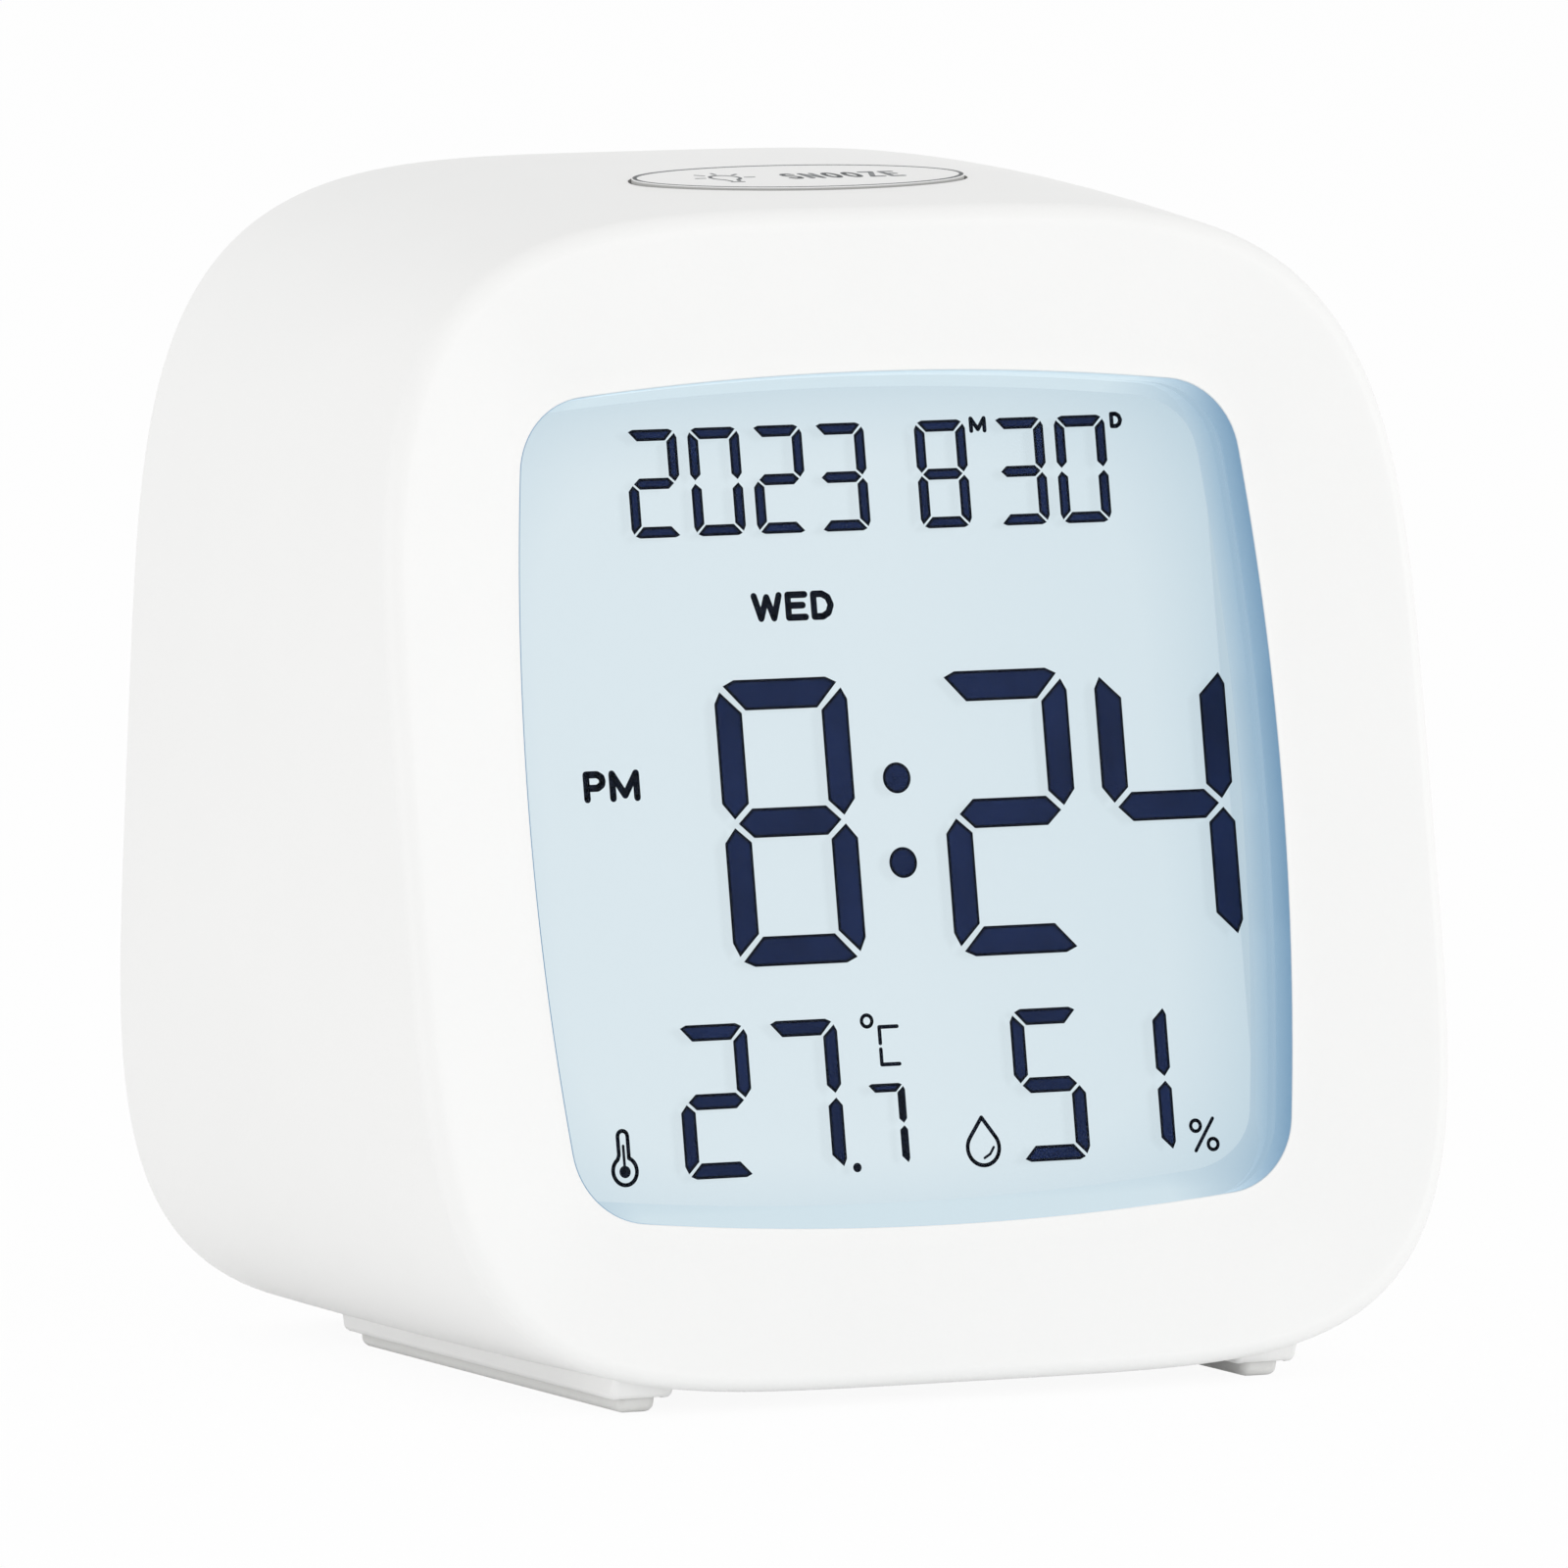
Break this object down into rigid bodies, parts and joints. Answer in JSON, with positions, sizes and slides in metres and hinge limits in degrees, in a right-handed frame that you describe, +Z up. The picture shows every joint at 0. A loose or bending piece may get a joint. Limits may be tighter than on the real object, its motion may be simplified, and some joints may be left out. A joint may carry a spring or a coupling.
{
  "type": "digital alarm clock",
  "caption": "Small free-standing digital alarm clock: pillow-shaped leaning case, flush window over a lit LCD, oval key on top, setting keys and battery door at the back.",
  "frame": {"origin": "on the table, under the middle of the part's outline: the foot strips' lowest line is z = 0", "axes": "+Z up, the display faces -Y, +X is to the right of someone who reads the display"},
  "size_m": [0.0794, 0.0562, 0.0813],
  "materials": {
    "white plastic": "fine moulded texture",
    "key plastic": "fine moulded texture",
    "inner plastic": "satin",
    "clear plastic": "clear, polished",
    "soft white": "matt",
    "glass": "clear",
    "film": "smooth film",
    "light plastic": "milky acrylic",
    "foil": "bright white film",
    "board": "solder mask",
    "black resin": "satin",
    "contact rubber": "striped elastomer",
    "steel": "zinc plated",
    "nickel": "nickel plated spring wire and strip",
    "lamp": "LED package",
    "cell sleeve": "printed sleeve"
  },
  "bodies": {
    "case": {"housing": "white plastic", "foot_strip_left": "soft white", "foot_strip_right": "soft white", "window_lens": "clear plastic", "display_frame": "inner plastic", "front_polariser": "film", "lcd_front_glass": "glass", "lcd_rear_glass": "glass", "rear_polariser": "film", "light_guide": "light plastic", "reflector_sheet": "foil", "light_board": "board", "side_led_1": "lamp", "side_led_2": "lamp", "side_led_3": "lamp", "contact_strip": "contact rubber", "main_board": "board", "controller_chip": "black resin", "clock_crystal": "nickel", "reservoir_capacitor": "black resin", "board_screw_1": "steel", "board_screw_2": "steel", "board_screw_3": "steel", "board_screw_4": "steel", "top_key_switch": "black resin", "top_key_board": "board", "top_board_screw_1": "steel", "top_board_screw_2": "steel", "back_cover": "white plastic", "back_cover_screw_1": "steel", "back_cover_screw_2": "steel", "back_cover_screw_3": "steel", "back_cover_screw_4": "steel", "rear_key_switch_1": "black resin", "rear_key_switch_2": "black resin", "rear_key_switch_3": "black resin", "rear_key_switch_4": "black resin", "rear_key_board": "board", "key_board_screw_1": "steel", "key_board_screw_2": "steel", "buzzer": "black resin", "climate_sensor": "inner plastic", "cell_upper": "cell sleeve", "cell_lower": "cell sleeve", "bridge_contact": "nickel", "negative_terminal": "nickel", "positive_terminal": "nickel"},
    "top_key": {"top_key": "key plastic"},
    "key_mode": {"key_mode": "key plastic"},
    "key_up": {"key_up": "key plastic"},
    "key_down": {"key_down": "key plastic"},
    "key_alarm": {"key_alarm": "key plastic"},
    "battery_door": {"battery_door": "white plastic"}
  },
  "joints": [
    {"name": "top_key_press", "type": "slide", "parent": "case", "child": "top_key", "axis": [0, 0.0724, -0.9974], "range_m": [0, 0.0008], "stiffness_N_per_m": 1800, "springref_m": -0.0002},
    {"name": "key_mode_press", "type": "slide", "parent": "case", "child": "key_mode", "axis": [0, -0.9972, -0.075], "range_m": [0, 0.0006], "stiffness_N_per_m": 2000, "springref_m": -0.0002},
    {"name": "key_up_press", "type": "slide", "parent": "case", "child": "key_up", "axis": [0, -0.9972, -0.075], "range_m": [0, 0.0006], "stiffness_N_per_m": 2000, "springref_m": -0.0002},
    {"name": "key_down_press", "type": "slide", "parent": "case", "child": "key_down", "axis": [0, -0.9972, -0.075], "range_m": [0, 0.0006], "stiffness_N_per_m": 2000, "springref_m": -0.0002},
    {"name": "key_alarm_press", "type": "slide", "parent": "case", "child": "key_alarm", "axis": [0, -0.9972, -0.075], "range_m": [0, 0.0006], "stiffness_N_per_m": 2000, "springref_m": -0.0002},
    {"name": "battery_door_hinge", "type": "hinge", "parent": "case", "child": "battery_door", "pos_m": [0, 0.02677, 0.00854], "axis": [-1, 0, 0], "range_deg": [0, 60]}
  ]
}
